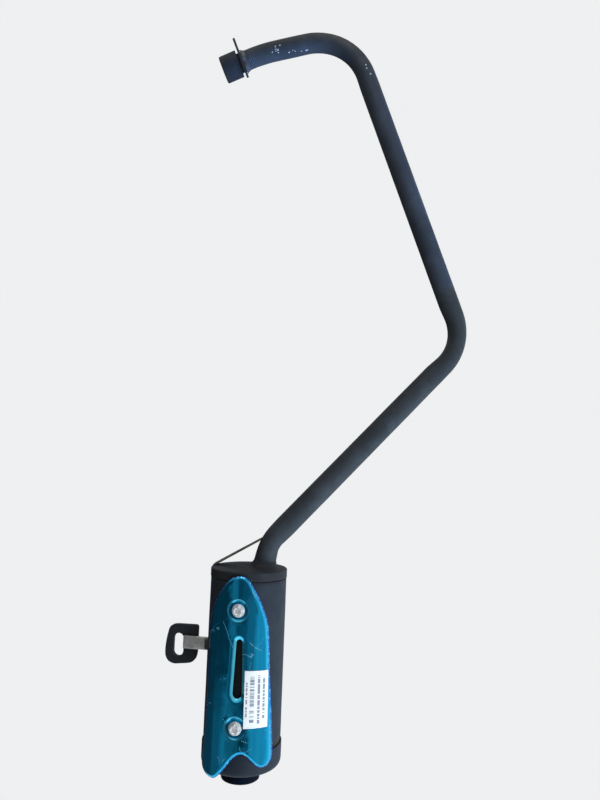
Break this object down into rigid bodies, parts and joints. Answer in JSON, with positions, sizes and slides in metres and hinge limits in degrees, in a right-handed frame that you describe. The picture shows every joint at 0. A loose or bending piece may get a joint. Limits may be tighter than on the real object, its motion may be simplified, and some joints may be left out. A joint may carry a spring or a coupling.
{
  "type": "exhaust system",
  "caption": "Small-bore kart or quad exhaust: bent header pipe with inlet flange, round silencer with formed heat shield, hanger and removable spark arrestor.",
  "frame": {"origin": "middle of the inlet flange's outer face, in the middle of the pipe", "axes": "+Z along the spigot, out of the pipe and into the port; -X back towards the silencer; -Y outboard, the side that the heat shield faces"},
  "size_m": [0.8809, 0.1479, 0.4749],
  "materials": {
    "black_paint": "satin black high-temperature paint",
    "weld": "painted weld bead",
    "blue_mirror": "blue mirror film",
    "zinc": "bright zinc plate",
    "bare_steel": "bare mild steel",
    "label_paper": "matt white sticker"
  },
  "bodies": {
    "root": {"header_pipe": "black_paint", "inlet_spigot": "black_paint", "inlet_flange": "black_paint", "front_cap": "black_paint", "body_shell": "black_paint", "rear_cap": "black_paint", "tail_outlet": "black_paint", "hanger_plate": "black_paint", "inlet_flange_weld": "weld", "neck_weld": "weld", "tail_weld": "weld", "hanger_weld": "weld", "neck_stay": "bare_steel", "crimp_band": "bare_steel", "shield_boss_front": "bare_steel", "shield_boss_rear": "bare_steel", "front_baffle": "bare_steel", "rear_baffle": "bare_steel", "inlet_diffuser": "bare_steel", "return_tube": "bare_steel", "transfer_tube": "bare_steel", "hanger_strap": "bare_steel"},
    "shield": {"heat_shield": "blue_mirror", "label": "label_paper"},
    "front_washer": {"shield_washer_front": "zinc"},
    "front_bolt": {"shield_bolt_front": "zinc"},
    "rear_washer": {"shield_washer_rear": "zinc"},
    "rear_bolt": {"shield_bolt_rear": "zinc"},
    "arrestor": {"arrestor_collar": "bare_steel", "arrestor_screen": "bare_steel"},
    "arrestor_screw": {"arrestor_screw": "zinc"}
  },
  "joints": [
    {"name": "shield_lift", "type": "slide", "parent": "root", "child": "shield", "axis": [0, -1, 0], "range_m": [0, 0.03]},
    {"name": "front_bolt_turn", "type": "hinge", "parent": "front_washer", "child": "front_bolt", "pos_m": [-0.67191, -0.114, 0.20628], "axis": [0, -1, 0], "range_deg": [0, 3970]},
    {"name": "front_bolt_travel", "type": "slide", "parent": "shield", "child": "front_washer", "axis": [0, -1, 0], "range_m": [0, 0.011]},
    {"name": "rear_bolt_turn", "type": "hinge", "parent": "rear_washer", "child": "rear_bolt", "pos_m": [-0.78415, -0.114, 0.24879], "axis": [0, -1, 0], "range_deg": [0, 3970]},
    {"name": "rear_bolt_travel", "type": "slide", "parent": "shield", "child": "rear_washer", "axis": [0, -1, 0], "range_m": [0, 0.011]},
    {"name": "arrestor_draw", "type": "slide", "parent": "root", "child": "arrestor", "axis": [-0.9291, 0, 0.3697], "range_m": [0, 0.088]},
    {"name": "arrestor_screw_turn", "type": "hinge", "parent": "root", "child": "arrestor_screw", "pos_m": [-0.84037, -0.044, 0.27385], "axis": [0, 1, 0], "range_deg": [0, 720]}
  ],
  "couplings": [
    {"joint": "front_bolt_turn", "follows": "front_bolt_travel", "rad_per_m": 6283.2},
    {"joint": "rear_bolt_turn", "follows": "rear_bolt_travel", "rad_per_m": 6283.2}
  ]
}
